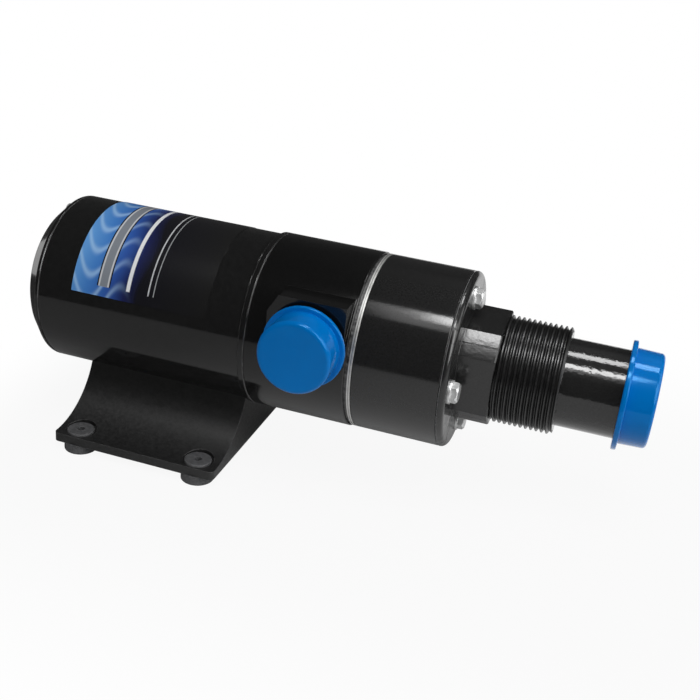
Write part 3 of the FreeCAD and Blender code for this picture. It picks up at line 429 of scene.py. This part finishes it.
def gloss_paint():
    """Black paint, with a painted highlight at both ends of the motor tube."""
    bumps = [Bumps(scale=420.0, strength=0.10, depth=0.05 * MM)]
    graph = finish_of("gloss_paint", grey(22), grey(29), rough=(0.08, 0.12), mottle=500.0, bumps=bumps,
                      level=0.45)
    paint_seam_highlights(graph, (TUBE_LOW.x, TUBE_HIGH.x))
    return graph


def moulded_gloss(name, shade, rough, grain, wave=0.10):
    """Glossy black moulding, with a fine grain and long waves, and a painted highlight along its edges."""
    bumps = [Bumps(scale=1800.0, strength=grain, depth=0.015 * MM),
             Bumps(scale=240.0, strength=wave, depth=0.06 * MM, stretch=ALONG)]
    graph = finish_of(name, grey(shade - GLOSS_SHADE_SPREAD), grey(shade + GLOSS_SHADE_SPREAD),
                      rough=rough, mottle=1400.0, bumps=bumps, level=0.42)
    graph.paint_edge_highlight(GLOSS_HIGHLIGHT_RADIUS, GLOSS_EDGE_HIGHLIGHT)
    return graph


def coated_bell():
    """The front bell, with a painted highlight at both of its seams."""
    graph = moulded_gloss("coated_bell", shade=24, rough=(0.09, 0.14), grain=0.15)
    paint_seam_highlights(graph, (TUBE_HIGH.x, BELL_END))
    return graph


def corner_flats(graph):
    """Height in metres of the crown and the parting line on the wrench neck's four corner flats."""
    y = graph.coordinate("Y")
    rise = graph.minus(graph.coordinate("Z"), AXIS_Z)
    turn = math.radians(CORNER_FLAT_TURN)
    height = 0.0
    for sine, cosine in ((math.sin(turn), math.cos(turn)), (math.cos(turn), -math.sin(turn))):
        across = graph.plus(graph.times(y, sine), graph.times(rise, cosine))
        off = graph.math("ABSOLUTE", across)
        inside = graph.math("LESS_THAN", off, CORNER_FLAT_HALF)
        crown = graph.times(graph.times(off, off), -0.5 / CORNER_CROWN)
        parting = graph.band(across, -PARTING_HALF, PARTING_HALF, PARTING_HALF / 2.0)
        crown = graph.minus(crown, graph.times(parting, PARTING_DEPTH))
        height = graph.plus(graph.times(inside, crown), height)
    return height


def moulded_cover():
    """The inlet cover, rippled all over, with a rougher and calmer neck whose flats are crowned."""
    graph = moulded_gloss("moulded_cover", shade=34, rough=(0.08, 0.12), grain=0.20, wave=0.30)
    on_neck = graph.math("LESS_THAN", graph.coordinate("X"), NECK_END)
    graph.bump(graph.times(corner_flats(graph), on_neck), strength=1.0, depth=1.0)
    calmer = graph.minus(1.0, graph.times(on_neck, NECK_CALMER))
    graph.bump(graph.times(graph.noise(RIPPLE_SCALE), calmer), RIPPLE_STRENGTH, RIPPLE_DEPTH)
    graph.set("Roughness", graph.plus(graph.so_far("Roughness"), graph.times(on_neck, NECK_ROUGHER)))
    return graph


def moulded_satin():
    """The bracket's satin coat, with a painted highlight along its edges."""
    bumps = [Bumps(scale=1100.0, strength=0.55, depth=0.06 * MM),
             Bumps(scale=160.0, strength=0.20, depth=0.10 * MM)]
    graph = finish_of("moulded_satin", grey(26), grey(37), rough=(0.40, 0.52), mottle=700.0, bumps=bumps,
                      level=0.48)
    graph.paint_edge_highlight(SATIN_HIGHLIGHT_RADIUS, SATIN_EDGE_HIGHLIGHT)
    return graph


def rubber():
    return finish_of("rubber", linear(66, 67, 68), linear(88, 88, 90), rough=(0.60, 0.75), mottle=500.0,
                     bumps=[Bumps(scale=1300.0, strength=0.6, depth=0.05 * MM)])


# The cover gasket: rubber made pale grey as a painted highlight, standing in for the bright line along its
# edge
def pale_seal_highlight():
    return finish_of("pale_seal_highlight", linear(96, 97, 98), linear(140, 140, 141), rough=(0.40, 0.55),
                     mottle=420.0, bumps=[Bumps(scale=900.0, strength=0.5, depth=0.05 * MM)])


def cap_plastic():
    """Blue plastic of the caps, whose shine is tinted too."""
    bumps = [Bumps(scale=700.0, strength=0.10, depth=0.03 * MM),
             Bumps(scale=70.0, strength=0.12, depth=0.10 * MM)]
    graph = finish_of("cap_plastic", linear(0, 113, 194), linear(0, 118, 201), rough=(0.09, 0.14),
                      mottle=45.0, bumps=bumps, edge=0.4 * MM, level=0.36)
    graph.set("Specular Tint", CAP_SHEEN)
    return graph


def cut_thread():
    return finish_of("cut_thread", grey(24), grey(31), rough=(0.27, 0.36), mottle=400.0,
                     bumps=[Bumps(scale=220.0, strength=0.06, depth=0.05 * MM)], edge=0.0)


def zinc():
    return finish_of("zinc", linear(198, 199, 199), grey(226), rough=(0.36, 0.46), mottle=260.0,
                     bumps=[Bumps(scale=500.0, strength=0.35, depth=0.05 * MM)], edge=0.25 * MM,
                     metallic=0.75)


def plate_edge():
    """Satin steel, with the darker line that runs round the middle of the plate's edge."""
    bumps = [Bumps(scale=700.0, strength=0.3, depth=0.03 * MM, stretch=TURNED)]
    graph = finish_of("plate_edge", linear(176, 176, 174), linear(200, 200, 198), rough=(0.40, 0.50),
                      mottle=300.0, bumps=bumps, metallic=0.7)
    middle = (PLATE_LOW.x + PLATE_HIGH.x) / 2.0
    line = graph.band(graph.coordinate("X"), middle - PLATE_LINE_HALF, middle + PLATE_LINE_HALF,
                      PLATE_LINE_HALF / 2.0)
    lined = graph.mix(graph.times(line, PLATE_LINE_SHARE), graph.so_far("Base Color"), PLATE_LINE_COLOUR)
    graph.set("Base Color", lined)
    return graph


def steel():
    return finish_of("steel", linear(170, 170, 168), linear(205, 205, 202), rough=(0.22, 0.34),
                     mottle=200.0, bumps=[Bumps(scale=700.0, strength=0.2, depth=0.03 * MM, stretch=TURNED)],
                     metallic=1.0)


def gasket_board():
    return finish_of("gasket_board", linear(8, 8, 9), grey(112), rough=(0.3, 0.6), mottle=620.0,
                     bumps=[Bumps(scale=500.0, strength=1.0, depth=0.5 * MM)], edge=0.0)


def ferrite():
    return finish_of("ferrite", linear(46, 44, 43), linear(60, 58, 56), rough=(0.5, 0.7), mottle=150.0,
                     bumps=[Bumps(scale=500.0, strength=0.4, depth=0.05 * MM)])


def laminations():
    bumps = [Bumps(scale=1400.0, strength=0.7, depth=0.06 * MM, stretch=LAYERED)]
    return finish_of("laminations", linear(105, 102, 98), linear(135, 131, 126), rough=(0.35, 0.5),
                     mottle=180.0, bumps=bumps, metallic=0.8)


def copper():
    bumps = [Bumps(scale=1200.0, strength=0.5, depth=0.06 * MM, stretch=WOUND)]
    return finish_of("copper", linear(168, 96, 52), linear(196, 118, 70), rough=(0.25, 0.38),
                     mottle=300.0, bumps=bumps, metallic=1.0)


def fibre_board():
    return finish_of("fibre_board", linear(96, 58, 34), linear(122, 76, 46), rough=(0.5, 0.65),
                     mottle=90.0, bumps=[Bumps(scale=600.0, strength=0.4, depth=0.05 * MM)])


def carbon():
    return finish_of("carbon", linear(50, 50, 53), linear(66, 66, 70), rough=(0.4, 0.55), mottle=300.0,
                     bumps=[Bumps(scale=900.0, strength=0.4, depth=0.04 * MM)])


def pale_nylon():
    return finish_of("pale_nylon", linear(205, 201, 190), linear(220, 216, 206), rough=(0.35, 0.5),
                     mottle=80.0, bumps=[Bumps(scale=900.0, strength=0.3, depth=0.04 * MM)])


def label_ground(graph, along, turn):
    """The label's blue field with soft waves, which fades to black."""
    swing = graph.math("SINE", graph.times(turn, SWING_RATE))
    ground = graph.ramp(graph.plus(along, graph.times(swing, SWING_SIZE)), LABEL_GROUND)
    bend = graph.math("SINE", graph.times(along, WAVE_BEND_RATE))
    ripple = graph.plus(graph.times(turn, WAVE_TURNS), graph.times(bend, WAVE_BEND))
    wave = graph.math("ABSOLUTE", graph.math("SINE", graph.times(ripple, WAVE_RATE)))
    crest = graph.math("POWER", wave, WAVE_SHARPNESS)
    glow = graph.times(crest, graph.band(along, *WAVE_SPAN, WAVE_SOFT))
    return graph.mix(graph.times(glow, WAVE_SHARE), ground, WAVE_COLOUR)


def label_film():
    """Printed film, with plain silver and white stripes over its ground."""
    graph = Finish("label_film")
    from_rear = graph.minus(graph.coordinate("X"), LABEL_LOW.x)
    along = graph.math("DIVIDE", from_rear, LABEL_HIGH.x - LABEL_LOW.x)
    forward = graph.times(graph.coordinate("Y"), -1.0)
    rise = graph.minus(graph.coordinate("Z"), AXIS_Z)
    turn = graph.math("DIVIDE", graph.math("ARCTAN2", rise, forward), math.pi)
    field = label_ground(graph, along, turn)
    between_ends = graph.band(turn, *STRIPE_ENDS, STRIPE_END_SOFT)
    for low, high, colour in LABEL_STRIPES:
        stripe = graph.times(graph.band(along, low, high, STRIPE_SOFT), between_ends)
        field = graph.mix(stripe, field, colour)
    graph.set("Base Color", field)
    graph.set("Roughness", LABEL_ROUGHNESS)
    graph.noise_bump(LABEL_BUMPS)
    return graph


def dress_nodes():
    """Give each model node its finish."""
    finishes = [
        (gloss_paint(), ["motor_tube", "rear_cover"]),
        (coated_bell(), ["front_bell"]),
        # The body, housing and cover are one black plastic; the body's lower shade is painted shade, set so
        # that the body renders as dark as the real one looks
        (moulded_gloss("moulded_body", shade=16, rough=(0.08, 0.13), grain=0.15), ["pump_body"]),
        (moulded_gloss("moulded_housing", shade=32, rough=(0.06, 0.13), grain=1.0), ["chopper_housing"]),
        (moulded_cover(), ["inlet_cover"]),
        (label_film(), ["label"]),
        (moulded_satin(), ["mount_bracket"]),
        (rubber(), ["mount_grommets", "lead_grommet", "shaft_seals", "slinger"]),
        (pale_seal_highlight(), ["cover_gasket"]),
        (gasket_board(), ["body_gasket"]),
        (cap_plastic(), ["inlet_cap", "discharge_cap"]),
        (zinc(), ["cover_bolts", "cover_washers", "motor_bolts", "bracket_screws"]),
        (plate_edge(), ["wear_plate"]),
        (steel(), ["motor_shaft", "drive_pin", "shaft_spacer", "chopper_blade", "blade_washer", "blade_nut",
                   "rear_bearing_outer", "rear_bearing_inner", "rear_bearing_balls",
                   "front_bearing_outer", "front_bearing_inner", "front_bearing_balls", "brush_springs"]),
        (ferrite(), ["field_magnets"]),
        (laminations(), ["armature_core"]),
        (copper(), ["armature_windings", "commutator"]),
        (fibre_board(), ["brush_holder"]),
        (carbon(), ["brushes", "thermal_breaker"]),
        (pale_nylon(), ["impeller"]),
    ]
    for finish, names in finishes:
        for name in names:
            mesh = nodes[name].data
            mesh.materials.clear()
            mesh.materials.append(finish.material)


def mesh_object(name, points, faces, material, smooth=True):
    mesh = bpy.data.meshes.new(name)
    mesh.from_pydata(points, [], faces)
    mesh.materials.append(material)
    mesh.validate()
    made = bpy.data.objects.new(name, mesh)
    bpy.context.scene.collection.objects.link(made)
    if smooth:
        mesh.polygons.foreach_set("use_smooth", [True] * len(mesh.polygons))
    return made


def thread_radius(x, angle):
    """Radius of the right-hand thread at a place along the axis, angle taken from the front downwards."""
    turns = (x - THREAD_FIRST) / THREAD_PITCH - angle / math.tau
    off_crest = abs(turns - round(turns))
    flank = 0.5 * (1.0 - THREAD_CREST_SHARE - THREAD_ROOT_SHARE)
    height = 1.0 - (off_crest - THREAD_CREST_SHARE / 2.0) / flank
    radius = THREAD_ROOT + (THREAD_CREST - THREAD_ROOT) * min(1.0, max(0.0, height))
    return min(radius, THREAD_CREST - THREAD_CHAMFER + (THREAD_END - x))


def thread_stations(angle):
    """Places along the axis where the thread's outline bends at one angle, from end to end."""
    half_crest = THREAD_CREST_SHARE / 2.0
    half_root = THREAD_ROOT_SHARE / 2.0
    bends = (-0.5 + half_root, -half_crest, half_crest, 0.5 - half_root)
    turns = math.ceil((THREAD_END - THREAD_START) / THREAD_PITCH)
    stations = []
    for turn in range(-THREAD_SPARE, turns + THREAD_SPARE):
        for bend in bends:
            x = THREAD_FIRST + THREAD_PITCH * (turn + bend + angle / math.tau)
            stations.append(min(max(x, THREAD_START), THREAD_END))
    return stations


def thread_outline(angle):
    """The thread's outline at one angle, as points in the model's frame."""
    outline = [(THREAD_START, THREAD_CORE)]
    for x in thread_stations(angle):
        outline.append((x, thread_radius(x, angle)))
    outline.append((THREAD_END, THREAD_CORE))
    return [(x, -radius * math.cos(angle), AXIS_Z - radius * math.sin(angle)) for x, radius in outline]


def inlet_thread(material):
    """Right-hand pipe thread as a sleeve on its pipe, cut off at both ends."""
    outlines = [thread_outline(math.tau * step / THREAD_STEPS) for step in range(THREAD_STEPS + 1)]
    points = [point for outline in outlines for point in outline]
    count = len(outlines[0])
    faces = []
    for step in range(THREAD_STEPS):
        for place in range(count - 1):
            corner = step * count + place
            faces.append((corner, corner + 1, corner + count + 1, corner + count))
    made = mesh_object("inlet_thread", points, faces, material)
    shape = bmesh.new()
    shape.from_mesh(made.data)
    bmesh.ops.remove_doubles(shape, verts=shape.verts, dist=THREAD_MERGE)
    bmesh.ops.dissolve_degenerate(shape, edges=shape.edges, dist=THREAD_MERGE)
    bmesh.ops.recalc_face_normals(shape, faces=shape.faces)
    shape.to_mesh(made.data)
    shape.free()
    made.data.set_sharp_from_angle(angle=math.radians(THREAD_SHARP))
    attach(made, "housing")


def camera():
    """The photograph's camera."""
    data = bpy.data.cameras.new("camera")
    data.sensor_width = SENSOR_WIDTH
    data.lens = FOCAL_PIXELS * SENSOR_WIDTH / PHOTO_SIDE
    data.clip_start = CAMERA_CLIP
    made = bpy.data.objects.new("camera", data)
    bpy.context.scene.collection.objects.link(made)
    azimuth = math.radians(CAMERA_AZIMUTH)
    drop = math.radians(CAMERA_DROP)
    look = Vector((-math.sin(azimuth) * math.cos(drop),
                   math.cos(azimuth) * math.cos(drop),
                   -math.sin(drop)))
    turned = look.to_track_quat("-Z", "Y")
    turned.rotate(Quaternion(look, -math.radians(CAMERA_ROLL)))
    made.rotation_euler = turned.to_euler()
    made.location = CAMERA_PLACE
    bpy.context.scene.camera = made


def area_lamp(lamp):
    width, length = lamp.size
    data = bpy.data.lights.new(lamp.name, "AREA")
    data.shape = "RECTANGLE"
    data.size = width
    data.size_y = length
    data.energy = lamp.radiance * math.pi * width * length
    made = bpy.data.objects.new(lamp.name, data)
    made.location = lamp.place
    made.rotation_euler = (Vector(lamp.aim) - Vector(lamp.place)).to_track_quat("-Z", "Y").to_euler()
    made.visible_camera = False
    made.visible_diffuse = lamp.diffuse
    made.visible_glossy = lamp.glossy
    bpy.context.scene.collection.objects.link(made)


def whitened(graph, lit, seen, mirrored):
    """White in place of the lit surface, by one share to the camera and in glass, and another in mirrors."""
    white = graph.node("ShaderNodeBackground" if graph.is_world else "ShaderNodeEmission")
    white.inputs["Color"].default_value = WHITE
    white.inputs["Strength"].default_value = 1.0
    path = graph.node("ShaderNodeLightPath")
    plain = graph.math("MAXIMUM", path.outputs["Is Camera Ray"], path.outputs["Is Transmission Ray"])
    share = graph.plus(graph.times(plain, seen), graph.times(path.outputs["Is Glossy Ray"], mirrored))
    mixed = graph.node("ShaderNodeMixShader")
    graph.link(share, mixed.inputs["Fac"])
    graph.link(lit, mixed.inputs[1])
    graph.link(white.outputs[0], mixed.inputs[2])
    return mixed.outputs[0]


def world():
    """Even light from all sides, white to the camera and in mirrors."""
    made = bpy.data.worlds.new("studio")
    made.use_nodes = True
    made.node_tree.nodes.clear()
    graph = Graph(made.node_tree, is_world=True)
    ambient = graph.node("ShaderNodeBackground")
    ambient.inputs["Color"].default_value = WHITE
    ambient.inputs["Strength"].default_value = AMBIENT
    output = graph.node("ShaderNodeOutputWorld")
    graph.link(whitened(graph, ambient.outputs[0], 1.0, 1.0), output.inputs["Surface"])
    bpy.context.scene.world = made


def floor_shares(graph):
    """Shares of white on the floor, to the camera and in mirrors."""
    x = graph.coordinate("X")
    y = graph.coordinate("Y")
    along = graph.math("ABSOLUTE", graph.minus(x, FLOOR_CENTRE[0]))
    beyond = graph.math("MAXIMUM", graph.minus(along, FLOOR_HALF), 0.0)
    across = graph.minus(y, FLOOR_CENTRE[1])
    distance = graph.math("SQRT", graph.plus(graph.times(beyond, beyond), graph.times(across, across)))
    seen = graph.math("MAXIMUM", graph.step(distance, *FLOOR_SHADOW, SHADOW_SEEN, 1.0),
                      graph.step(x, *FLOOR_FADE, 1.0, SHADOW_SEEN))
    in_front = graph.times(graph.step(x, *MIRROR_RISE), graph.step(y, *MIRROR_BEHIND, 1.0, 0.0))
    far_off = graph.times(graph.step(x, *MIRROR_FAR_RISE),
                          graph.step(distance, *MIRROR_FAR, 0.0, MIRROR_FAR_SHARE))
    on_right = graph.step(x, *MIRROR_RIGHT)
    mirrored = graph.math("MAXIMUM", graph.math("MAXIMUM", in_front, far_off), on_right)
    return seen, mirrored


def pale_floor():
    """Pale floor that keeps the object's shadow close by and is white further off."""
    graph = Finish("pale_floor")
    graph.set("Base Color", (FLOOR_SHADE, FLOOR_SHADE, FLOOR_SHADE, 1.0))
    graph.set("Roughness", 1.0)
    graph.set("Specular IOR Level", 0.0)
    seen, mirrored = floor_shares(graph)
    output = graph.tree.nodes["Material Output"]
    graph.link(whitened(graph, graph.shader.outputs[0], seen, mirrored), output.inputs["Surface"])
    side, back = FLOOR_NOTCH
    points = [
        ((back - FLOOR_FRONT) / FLOOR_SLANT, back, 0.0),
        (FLOOR_REACH, FLOOR_FRONT + FLOOR_SLANT * FLOOR_REACH, 0.0),
        (FLOOR_REACH, FLOOR_REACH, 0.0),
        (side, FLOOR_REACH, 0.0),
        (side, back, 0.0),
    ]
    made = mesh_object("floor", points, [tuple(range(len(points)))], graph.material, smooth=False)


def dark_tent():
    """Cloth tent round the studio that only mirrors see: nearly black, and grey overhead to the right."""
    graph = Finish("tent_cloth")
    height = graph.math("DIVIDE", graph.coordinate("Z"), TENT_RADIUS)
    side = graph.math("DIVIDE", graph.coordinate("X"), TENT_RADIUS)
    paler = graph.times(graph.step(height, *TENT_GREY_HEIGHT),
                        graph.step(side, *TENT_GREY_SIDE, 0.0, TENT_GREY))
    glow = graph.node("ShaderNodeEmission")
    graph.link(graph.plus(paler, TENT_SHADE), glow.inputs["Strength"])
    graph.link(glow.outputs[0], graph.tree.nodes["Material Output"].inputs["Surface"])
    bpy.ops.mesh.primitive_uv_sphere_add(segments=TENT_SEGMENTS, ring_count=TENT_RINGS, radius=TENT_RADIUS)
    made = bpy.context.object
    made.name = "tent"
    made.data.materials.append(graph.material)
    made.visible_camera = False
    made.visible_diffuse = False
    made.visible_transmission = False
    made.visible_volume_scatter = False
    made.visible_shadow = False


dress_nodes()
inlet_thread(cut_thread().material)
pale_floor()
dark_tent()
world()
for one_lamp in LAMPS:
    area_lamp(one_lamp)
camera()
bpy.context.scene.view_settings.view_transform = "Standard"
